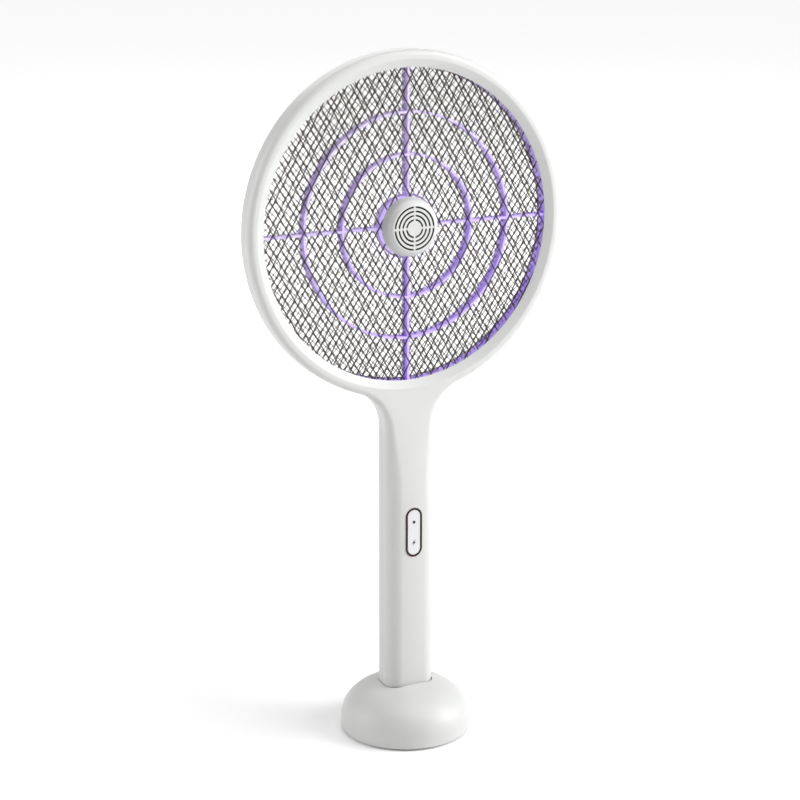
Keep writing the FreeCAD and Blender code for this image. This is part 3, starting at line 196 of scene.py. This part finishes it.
def painted_slot_shade(material, reach, depth):
    """Blacken what lies inside this radius about the head's axis and behind this depth: painted shade in the
    slots.
    """
    nodes, links = material.node_tree.nodes, material.node_tree.links
    surface = nodes["Principled BSDF"]
    place = nodes.new("ShaderNodeTexCoord")
    split = nodes.new("ShaderNodeSeparateXYZ")
    links.new(place.outputs["Object"], split.inputs["Vector"])
    flat = nodes.new("ShaderNodeCombineXYZ")
    links.new(split.outputs["X"], flat.inputs["X"])
    links.new(split.outputs["Z"], flat.inputs["Y"])
    away = nodes.new("ShaderNodeVectorMath")
    away.operation = "DISTANCE"
    away.inputs[1].default_value = (0.0, HEAD, 0.0)
    links.new(flat.outputs["Vector"], away.inputs[0])
    near = nodes.new("ShaderNodeMath")
    near.operation = "LESS_THAN"
    near.inputs[1].default_value = reach
    links.new(away.outputs["Value"], near.inputs[0])
    behind = nodes.new("ShaderNodeMath")
    behind.operation = "GREATER_THAN"
    behind.inputs[1].default_value = depth
    links.new(split.outputs["Y"], behind.inputs[0])
    both = nodes.new("ShaderNodeMath")
    both.operation = "MULTIPLY"
    links.new(near.outputs["Value"], both.inputs[0])
    links.new(behind.outputs["Value"], both.inputs[1])
    blend = nodes.new("ShaderNodeMix")
    blend.data_type = "RGBA"
    blend.inputs["B"].default_value = (0.006, 0.006, 0.007, 1)
    links.new(both.outputs["Value"], blend.inputs["Factor"])
    links.new(nodes["tint"].outputs["Result"], blend.inputs["A"])
    links.new(blend.outputs["Result"], surface.inputs["Base Color"])
    return material


VIOLET = (0.30, 0.10, 1.0)
PALE_VIOLET = (0.60, 0.45, 1.0)
DOWN_RIGHT = (0.5, 0.0, -0.87)

CASING_COLOUR = (0.552, 0.558, 0.547)
casing = shader("casing_plastic", CASING_COLOUR, rough=0.42, mottle=0.01, scale=90.0)
cap_white = shader("hub_plastic", CASING_COLOUR, rough=0.4, mottle=0.01, scale=90.0)
# The grille's slot walls are blackened as painted shade.
grille_white = painted_slot_shade(shader("grille_plastic", CASING_COLOUR, rough=0.4, mottle=0.01, scale=90.0),
                           14.3 * MM, -12.15 * MM)
# The ribs' violet tint, their emission and the deeper violet towards the lower right are painted lamp light
# on pale plastic.
rib = glow(shader("rib_plastic", (0.60, 0.52, 0.80), rough=0.4, mottle=0.45, scale=330.0),
           VIOLET, 0.10, 0.27, reach=0.09, lean=DOWN_RIGHT, deep=(0.52, 0.41, 0.80))
net_wire = shader("net_wire", (0.030, 0.022, 0.017), rough=0.5, metallic=0.3, mottle=0.4)
# The electrode wires' violet emission round the hub is painted lamp light.
electrode_wire = painted_lamp_halo(shader("electrode_wire", (0.13, 0.095, 0.072), rough=0.4, metallic=0.5, mottle=0.35),
                      PALE_VIOLET, 20.5 * MM, 27.0 * MM, 0.42)
steel = shader("steel", (0.50, 0.50, 0.51), rough=0.28, metallic=1.0, mottle=0.08, scale=700.0)
bezel_metal = shader("bezel_metal", (0.055, 0.032, 0.027), rough=0.24, metallic=0.9, mottle=0.05, scale=500.0)
key_white = shader("key_plastic", (0.63, 0.63, 0.645), rough=0.38, mottle=0.01)
ink = shader("mark_ink", (0.025, 0.024, 0.024), rough=0.6, mottle=0.1)
black = shader("black_plastic", (0.012, 0.012, 0.014), rough=0.6, mottle=0.2, grain=0.15)
# The lens's emission, stronger towards its left, is painted lamp glow.
lens = glow(shader("lens_plastic", (0.70, 0.65, 0.86), rough=0.15, mottle=0.05),
            PALE_VIOLET, 0.22, 0.38, reach=0.02, lean=(-1.0, 0.0, 0.0))
lens.node_tree.nodes["Principled BSDF"].inputs["Transmission Weight"].default_value = 0.35
led = glow(shader("led", (0.75, 0.6, 1.0), rough=0.2, mottle=0.05), VIOLET, 6.0, 6.0)
board = shader("board", (0.02, 0.11, 0.05), rough=0.35, mottle=0.2, scale=600.0)
chip = shader("chip", (0.02, 0.02, 0.022), rough=0.45, mottle=0.15)
ferrite = shader("ferrite", (0.05, 0.048, 0.05), rough=0.55, mottle=0.2, grain=0.2)
copper = shader("copper", (0.60, 0.25, 0.12), rough=0.3, metallic=0.9, mottle=0.12, scale=900.0)
film = shader("film", (0.45, 0.05, 0.02), rough=0.35, mottle=0.06)
ceramic = shader("ceramic", (0.62, 0.33, 0.06), rough=0.45, mottle=0.08)
cell = shader("cell_sleeve", (0.05, 0.16, 0.34), rough=0.3, mottle=0.05)
nickel = shader("nickel", (0.58, 0.56, 0.51), rough=0.26, metallic=1.0, mottle=0.06, scale=600.0)
gold = shader("gold", (0.80, 0.56, 0.22), rough=0.25, metallic=1.0, mottle=0.05, scale=800.0)
lead_red = two_tone(shader("lead_sleeve", (0.45, 0.02, 0.02), rough=0.4, mottle=0.05),
                    (0.015, 0.015, 0.016), "X", -0.0002, 0.0002)
lead_pale = shader("lead_pale", (0.62, 0.60, 0.66), rough=0.4, mottle=0.03)
rubber = shader("foot_rubber", (0.035, 0.035, 0.037), rough=0.8, mottle=0.15, grain=0.3)
dock_white = shader("dock_plastic", CASING_COLOUR, rough=0.45, mottle=0.01, scale=90.0)

FINISHES = {
    "front_ribs": rib, "rear_ribs": rib, "hub_front_cap": grille_white, "hub_rear_cap": cap_white,
    # the black grille_backing behind the hub's slots stands in for the shade there: a dark sheet put in as
    # painted shade
    "grille_backing": black, "lamp_lens": lens, "lamp_board": board, "uv_leds": led,
    "front_net": net_wire, "rear_net": net_wire, "electrode_net": electrode_wire,
    "ring_screws": steel, "handle_screws": steel, "button_bezel": bezel_metal, "switch_key": key_white,
    "key_pivot": steel, "key_marks": ink, "main_board": board, "tact_switches": chip,
    "transformer_core": ferrite, "transformer_coil": copper, "film_capacitor": film,
    "rectifier_diodes": chip, "doubler_capacitors": ceramic, "control_chip": chip, "battery_cell": cell,
    "battery_contacts": nickel, "battery_leads": lead_red, "charge_leads": lead_red,
    "net_leads": lead_red, "lamp_leads": lead_pale, "end_cap": casing, "charge_pads": gold,
    "front_cover": casing, "rear_cover": casing, "dock_shell": dock_white, "dock_base_plate": black,
    "dock_screws": steel, "foot_ring": rubber, "dock_weight": steel, "dock_board": board,
    "usb_inlet": nickel, "pin_barrels": gold, "contact_pin_left": gold, "contact_pin_right": gold,
    "pin_springs": steel,
}


def paint(obj, material):
    """Give an object one material all over."""
    obj.data.materials.clear()
    obj.data.materials.append(material)


for node, material in FINISHES.items():
    paint(NODES[node], material)


# ---------------------------------------------------------------- meshes

def mesh_object(name, points, faces, material, sharp=math.radians(35)):
    """A welded mesh with smooth faces that breaks at sharp edges."""
    data = bpy.data.meshes.new(name)
    data.from_pydata(points, [], faces)
    made = bmesh.new()
    made.from_mesh(data)
    bmesh.ops.remove_doubles(made, verts=made.verts, dist=1e-6)
    bmesh.ops.dissolve_degenerate(made, edges=made.edges, dist=1e-7)
    bmesh.ops.recalc_face_normals(made, faces=made.faces)
    for face in made.faces:
        face.smooth = True
    for edge in made.edges:
        if len(edge.link_faces) == 2 and edge.calc_face_angle(0.0) > sharp:
            edge.smooth = False
    made.to_mesh(data)
    made.free()
    obj = bpy.data.objects.new(name, data)
    bpy.context.scene.collection.objects.link(obj)
    paint(obj, material)
    return obj


def grid_faces(rows, columns, start=0, closed=False):
    """Quads over a grid of points laid row by row; closed joins the last row to the first."""
    faces = []
    for i in range(rows if closed else rows - 1):
        after = (i + 1) % rows
        for j in range(columns - 1):
            faces.append((start + i * columns + j, start + after * columns + j,
                          start + after * columns + j + 1, start + i * columns + j + 1))
    return faces


def edge_profile(half_depth, rounding, reach, steps):
    """The casing's outer edge in section: inset and depth, from the seam round to the face."""
    points = [(SEAM_DEPTH, 0.0), (SEAM_DEPTH, SEAM * 0.5), (0.0, SEAM)]
    wall = half_depth - rounding
    for share in (0.35, 0.7):
        points.append((0.0, SEAM + (wall - SEAM) * share))
    for i in range(steps + 1):
        turn = 0.5 * math.pi * i / steps
        points.append((rounding * (1 - math.cos(turn)), wall + rounding * math.sin(turn)))
    points.append((0.5 * (rounding + reach), half_depth))
    points.append((reach, half_depth))
    return points


EDGE_STEPS = 12
TANGENT_SINE = (HALF_WIDTH + FLARE) / (HEAD_RADIUS + FLARE)
TANGENT = math.asin(TANGENT_SINE)
FLARE_START = HEAD - (HEAD_RADIUS + FLARE) * math.cos(TANGENT)
FACE_REACH = HEAD_RADIUS - CREST_RADIUS


def smooth_step(share):
    """An eased share from 0 to 1."""
    share = min(1.0, max(0.0, share))
    return share * share * (3 - 2 * share)


def neck_rows():
    """Half-outlines of the handle and neck: the side's reach, the height and the turn of each row."""
    rows = []
    for height in (BOTTOM, BOTTOM + 0.5 * MM, 40 * MM, 80 * MM, 110 * MM):
        rows.append((HALF_WIDTH, height, 0.0))
    for i in range(KEY_ROWS + 1):
        rows.append((HALF_WIDTH, KEY_HEIGHT + KEY_SPAN * (i / KEY_ROWS - 0.5), 0.0))
    for i in range(13):
        rows.append((HALF_WIDTH, NECK_START + (FLARE_START - NECK_START) * i / 12, 0.0))
    turn_top = 0.5 * math.pi - TANGENT
    for i in range(1, 25):
        turn = turn_top * i / 24
        rows.append((HALF_WIDTH + FLARE * (1 - math.cos(turn)), FLARE_START + FLARE * math.sin(turn), turn))
    return rows


def in_key_hole(point):
    """Whether a point of the front face lies well inside the bezel's outline."""
    beyond = max(0.0, abs(point.z - KEY_HEIGHT) - (BEZEL_LENGTH - BEZEL_WIDTH) / 2)
    return BEZEL_WIDTH / 2 - math.hypot(point.x, beyond) > KEY_HOLE_INSET


def neck_section(side, height, turn, face_columns):
    """One row of points across the casing's outside, from the left seam round the face to the right seam."""
    top = HEAD - HEAD_RADIUS * math.cos(TANGENT)
    ease = smooth_step((height - NECK_START) / (top - NECK_START))
    half_depth = HALF_DEPTH + (RING_HALF_DEPTH - HALF_DEPTH) * ease
    rounding = CORNER + (RING_ROUND - CORNER) * ease
    reach = rounding + (FACE_REACH - RING_ROUND) * ease + GRIP_FACE_REACH * (1 - ease)
    turn_share = turn / (0.5 * math.pi - TANGENT)
    inward = Vector((-math.cos(turn), 0.0, math.sin(turn)))
    right = []
    for inset, depth in edge_profile(half_depth, rounding, reach, EDGE_STEPS):
        point = Vector((side, 0.0, height)) + inward * inset
        right.append(Vector((point.x, -depth, point.z)))
    inner = right[-1]
    full_bow = CREST_RADIUS * (1 - math.cos(TANGENT))
    bow = full_bow * turn_share ** 2
    crown = GRIP_CROWN * (1 - ease)
    middle = []
    for j in range(1, face_columns):
        across = 1 - 2 * j / face_columns
        x = inner.x * across
        lean = math.sqrt(max(0.0, 1 - (x / CREST_RADIUS) ** 2))
        edge_lean = math.sqrt(max(0.0, 1 - (inner.x / CREST_RADIUS) ** 2))
        shape = (lean - edge_lean) / max(1e-9, 1 - edge_lean)
        middle.append(Vector((x, inner.y, inner.z - bow * shape)))
    left = [Vector((-point.x, point.y, point.z)) for point in reversed(right)]
    row = right + middle + left
    for point in row:
        across = min(1.0, abs(point.x) / HALF_WIDTH)
        forward = max(0.0, (abs(point.y) - half_depth + rounding) / rounding)
        point.y += crown * across * across * forward
    return row


def front_casing():
    """The casing's front half: grip and neck, the ring's outside, and the lip and channel inside the ring."""
    points = []
    face_columns = 40
    rows = [neck_section(side, height, turn, face_columns) for side, height, turn in neck_rows()]
    columns = len(rows[0])
    for row in rows:
        points += row
    faces = [face for face in grid_faces(len(rows), columns)
             if not all(in_key_hole(points[k]) for k in face)]
    # outside of the ring between the neck's two edges
    ring_rows = 180
    profile = edge_profile(RING_HALF_DEPTH, RING_ROUND, FACE_REACH, EDGE_STEPS)
    start = len(points)
    for i in range(ring_rows + 1):
        angle = TANGENT + (2 * math.pi - 2 * TANGENT) * i / ring_rows
        across, up = math.sin(angle), -math.cos(angle)
        for inset, depth in profile:
            radius = HEAD_RADIUS - inset
            points.append(Vector((radius * across, -depth, HEAD + radius * up)))
    faces += grid_faces(ring_rows + 1, len(profile), start)
    # chamfer, lip, seat and channel, all round
    inner = [
        (CREST_RADIUS, RING_HALF_DEPTH), (CREST_RADIUS - 0.25 * MM, RING_HALF_DEPTH - 0.1 * MM),
        (OPENING_RADIUS + 0.35 * MM, LIP_DEPTH + 0.2 * MM), (OPENING_RADIUS, LIP_DEPTH),
        (OPENING_RADIUS, SEAT_DEPTH), (SEAT_RADIUS, SEAT_DEPTH),
        (CHANNEL_RADIUS, RING_HALF_DEPTH - WALL), (HEAD_RADIUS - WALL, RING_HALF_DEPTH - WALL),
        (HEAD_RADIUS - WALL, 0.0),
    ]
    share_angles = []
    edge_x = CREST_RADIUS * math.sin(TANGENT)
    for j in range(face_columns):
        share_angles.append(-math.asin(edge_x * (1 - 2 * j / face_columns) / CREST_RADIUS))
    share_angles += [TANGENT + (2 * math.pi - 2 * TANGENT) * i / ring_rows for i in range(ring_rows)]
    start = len(points)
    for angle in share_angles:
        across, up = math.sin(angle), -math.cos(angle)
        for radius, depth in inner:
            points.append(Vector((radius * across, -depth, HEAD + radius * up)))
    faces += grid_faces(len(share_angles), len(inner), start, closed=True)
    # the open bottom edge: the wall's thickness, then a short way up inside
    first = rows[0]
    start = len(points)
    for drawn_in, rise in ((0.0, 0.0), (WALL, 0.0), (WALL, 6 * MM)):
        for point in first:
            x = math.copysign(max(0.0, abs(point.x) - drawn_in * abs(point.x) / HALF_WIDTH), point.x)
            depth = abs(point.y)
            y = -max(0.0, depth - drawn_in * depth / HALF_DEPTH)
            points.append(Vector((x, y, BOTTOM + rise)))
    faces += grid_faces(3, columns, start)
    obj = mesh_object("front_casing", points, faces, casing)
    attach(obj, "swatter")
    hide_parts("front_cover")


front_casing()


def tube(points, faces, first, last, radius, sides=8):
    """Add a round wire between two places, with closed ends."""
    along = (last - first).normalized()
    side = along.cross(Vector((0, 1, 0))).normalized()
    lift = along.cross(side)
    start = len(points)
    for place in (first, last):
        for k in range(sides):
            turn = 2 * math.pi * k / sides
            points.append(place + radius * (math.cos(turn) * side + math.sin(turn) * lift))
    for k in range(sides):
        after = (k + 1) % sides
        faces.append((start + k, start + after, start + sides + after, start + sides + k))
    faces.append(tuple(start + k for k in reversed(range(sides))))
    faces.append(tuple(start + sides + k for k in range(sides)))


def band(points, faces, centre, radius, width, thickness, steps=160):
    """Add a flat round-edged rim about the Y axis."""
    section = []
    for k in range(12):
        turn = 2 * math.pi * k / 12
        across, deep = math.cos(turn), math.sin(turn)
        section.append((0.5 * width * math.copysign(abs(across) ** 0.5, across),
                        0.5 * thickness * math.copysign(abs(deep) ** 0.5, deep)))
    start, count = len(points), len(section)
    for i in range(steps):
        angle = 2 * math.pi * i / steps
        for inset, depth in section:
            reach = radius + inset
            points.append(centre + Vector((reach * math.cos(angle), depth, reach * math.sin(angle))))
    for i in range(steps):
        after = (i + 1) % steps
        for k in range(count):
            nearby = (k + 1) % count
            faces.append((start + i * count + k, start + i * count + nearby,
                          start + after * count + nearby, start + after * count + k))


NET_RADIUS = 101.8 * MM
NET_RIM = 1.6 * MM
RIM_HOLD = 0.5 * MM
RIM_THICKNESS = 0.6 * MM


def wire_layer(points, faces, hole, pitch, angle, offset, level, radius):
    """Add parallel round wires across the head between the hub's rim and the outer rim."""
    turn = math.radians(angle)
    normal = Vector((math.cos(turn), 0, math.sin(turn)))
    along = Vector((-math.sin(turn), 0, math.cos(turn)))
    outer = NET_RADIUS - NET_RIM + RIM_HOLD
    inner = hole + NET_RIM - RIM_HOLD
    count = int(outer / pitch) + 1
    for k in range(-count, count + 1):
        shift = offset + k * pitch
        if abs(shift) > NET_RADIUS - NET_RIM - radius:
            continue
        base = Vector((0, level, HEAD)) + normal * shift
        half = math.sqrt(outer ** 2 - shift ** 2)
        gap = math.sqrt(max(0.0, inner ** 2 - shift ** 2))
        for first, last in (((-half, -gap), (gap, half)) if gap else ((-half, half),)):
            tube(points, faces, base + along * first, base + along * last, radius)


def wire_net(node, material, hole, pitch, angle, offsets, levels, radius):
    """A net of round wires in two layers, with a rim outside and one round the hub."""
    points, faces = [], []
    wire_layer(points, faces, hole, pitch, angle, offsets[0], levels[0], radius)
    wire_layer(points, faces, hole, pitch, -angle, offsets[1], levels[1], radius)
    middle = Vector((0, 0.5 * (levels[0] + levels[1]), HEAD))
    for outer in (NET_RADIUS, hole + NET_RIM):
        band(points, faces, middle, outer - 0.5 * NET_RIM, NET_RIM, RIM_THICKNESS)
    obj = mesh_object(node + "_wires", points, faces, material, sharp=math.radians(50))
    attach(obj, "swatter")
    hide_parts(node)
    return obj


def key_inlays():
    """The key's two plain inlays, a dot and a small bolt, as thin raised shapes that fit its face."""
    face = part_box("key_marks")[1][1]
    points, faces = [], []
    turns = [k * math.pi / 16 for k in range(32)]
    dot = [(DOT_RADIUS * math.cos(turn), DOT_RADIUS * math.sin(turn)) for turn in turns]
    for outline, height in ((dot, MARK_OFFSET), (BOLT, -MARK_OFFSET)):
        start, count = len(points), len(outline)
        for depth in (face, face - MARK_THICKNESS):
            points += [Vector((x, depth, KEY_HEIGHT + height + z)) for x, z in outline]
        faces.append(tuple(start + k for k in range(count)))
        faces.append(tuple(start + count + k for k in reversed(range(count))))
        for k in range(count):
            after = (k + 1) % count
            faces.append((start + k, start + after, start + count + after, start + count + k))
    obj = mesh_object("key_inlays", points, faces, ink)
    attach(obj, "key")
    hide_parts("key_marks")


MARK_OFFSET = 7.0 * MM
MARK_THICKNESS = 0.1 * MM
DOT_RADIUS = 1.05 * MM
BOLT = [(1.05 * MM, 2.4 * MM), (-1.4 * MM, -0.5 * MM), (-0.1 * MM, -0.5 * MM),
        (-1.05 * MM, -2.4 * MM), (1.4 * MM, 0.5 * MM), (0.1 * MM, 0.5 * MM)]
key_inlays()

# hole round the hub, pitch and angle of each kind of net, and the wires' radius, thickened to match the photo
COARSE = (16.4 * MM, 8.98 * MM, 30)
FINE = (19.1 * MM, 3.3 * MM, 45)
COARSE_WIRE = 0.43 * MM
FINE_WIRE = 0.29 * MM
wire_net("front_net", net_wire, *COARSE, (1.77 * MM, -0.16 * MM), (-4.06 * MM, -3.9 * MM), COARSE_WIRE)
wire_net("rear_net", net_wire, *COARSE, (7.63 * MM, 0.26 * MM), (3.9 * MM, 4.06 * MM), COARSE_WIRE)
wire_net("electrode_net", electrode_wire, *FINE, (1.80 * MM, 1.62 * MM), (-0.12 * MM, 0.12 * MM), FINE_WIRE)


# ---------------------------------------------------------------- floor, light and camera

def floor_material():
    """A plain pale floor with emission that rises with distance, so that it fades to white."""
    material = shader("floor", (0.78, 0.78, 0.78), rough=0.9, mottle=0.004, scale=4.0)
    nodes, links = material.node_tree.nodes, material.node_tree.links
    surface = nodes["Principled BSDF"]
    surface.inputs["Emission Color"].default_value = (1, 1, 1, 1)
    place = nodes.new("ShaderNodeTexCoord")
    away = nodes.new("ShaderNodeVectorMath")
    away.operation = "LENGTH"
    links.new(place.outputs["Object"], away.inputs[0])
    level = nodes.new("ShaderNodeMapRange")
    level.interpolation_type = "SMOOTHSTEP"
    level.inputs["From Min"].default_value = FLOOR_NEAR
    level.inputs["From Max"].default_value = FLOOR_FAR
    level.inputs["To Min"].default_value = FLOOR_NEAR_GLOW
    level.inputs["To Max"].default_value = FLOOR_FAR_GLOW
    links.new(away.outputs["Value"], level.inputs["Value"])
    links.new(level.outputs["Result"], surface.inputs["Emission Strength"])
    return material


FLOOR_SPAN = 40.0
FLOOR_NEAR = 0.1
FLOOR_FAR = 2.2
FLOOR_NEAR_GLOW = 0.16
FLOOR_FAR_GLOW = 0.8
floor = mesh_object("floor", [Vector((x, y, 0)) for x, y in ((-1, -1), (1, -1), (1, 1), (-1, 1))],
                    [(0, 1, 2, 3)], floor_material())
floor.data.transform(Matrix.Scale(FLOOR_SPAN / 2, 4))

scene = bpy.context.scene
scene.view_settings.view_transform = "Standard"
world = bpy.data.worlds.new("studio")
scene.world = world
world.use_nodes = True
background = world.node_tree.nodes["Background"]
background.inputs["Color"].default_value = (1, 1, 1, 1)
sky_place = world.node_tree.nodes.new("ShaderNodeTexCoord")
sky_split = world.node_tree.nodes.new("ShaderNodeSeparateXYZ")
sky_level = world.node_tree.nodes.new("ShaderNodeMapRange")
sky_level.interpolation_type = "SMOOTHSTEP"
SKY_TOP = 0.42
HORIZON_LEVEL = 0.78
TOP_LEVEL = 0.12
sky_level.inputs["From Min"].default_value = 0.0
sky_level.inputs["From Max"].default_value = SKY_TOP
sky_level.inputs["To Min"].default_value = HORIZON_LEVEL
sky_level.inputs["To Max"].default_value = TOP_LEVEL
world.node_tree.links.new(sky_place.outputs["Generated"], sky_split.inputs["Vector"])
world.node_tree.links.new(sky_split.outputs["Z"], sky_level.inputs["Value"])
world.node_tree.links.new(sky_level.outputs["Result"], background.inputs["Strength"])


def soft_light(name, azimuth, elevation, power, span, distance=2.6, aim=0.25):
    """A large area light at this angle round the object (0 is the front) and above the level."""
    turn, rise = math.radians(azimuth), math.radians(elevation)
    direction = Vector((-math.sin(turn) * math.cos(rise), -math.cos(turn) * math.cos(rise), math.sin(rise)))
    data = bpy.data.lights.new(name, "AREA")
    data.shape = "SQUARE"
    data.size = span
    data.energy = power
    obj = bpy.data.objects.new(name, data)
    obj.location = direction * distance + Vector((0, 0, aim))
    obj.rotation_euler = direction.to_track_quat("Z", "Y").to_euler()
    scene.collection.objects.link(obj)


soft_light("key", -60, 26, 82, 1.8)
soft_light("rim", 112, 20, 30, 1.4)
soft_light("top", -20, 74, 32, 1.8)
soft_light("back", 195, 35, 18, 1.6)

CAMERA_PLACE = (-0.5517, -1.0657, 0.55318)
CAMERA_DOWN = 15.23
CAMERA_TURN = -27.20
CAMERA_LENS = 86.92
camera_data = bpy.data.cameras.new("camera")
camera_data.lens = CAMERA_LENS
camera_data.sensor_width = 36.0
camera = bpy.data.objects.new("camera", camera_data)
camera.location = CAMERA_PLACE
camera.rotation_euler = (math.radians(90 - CAMERA_DOWN), 0.0, math.radians(CAMERA_TURN))
scene.collection.objects.link(camera)
scene.camera = camera
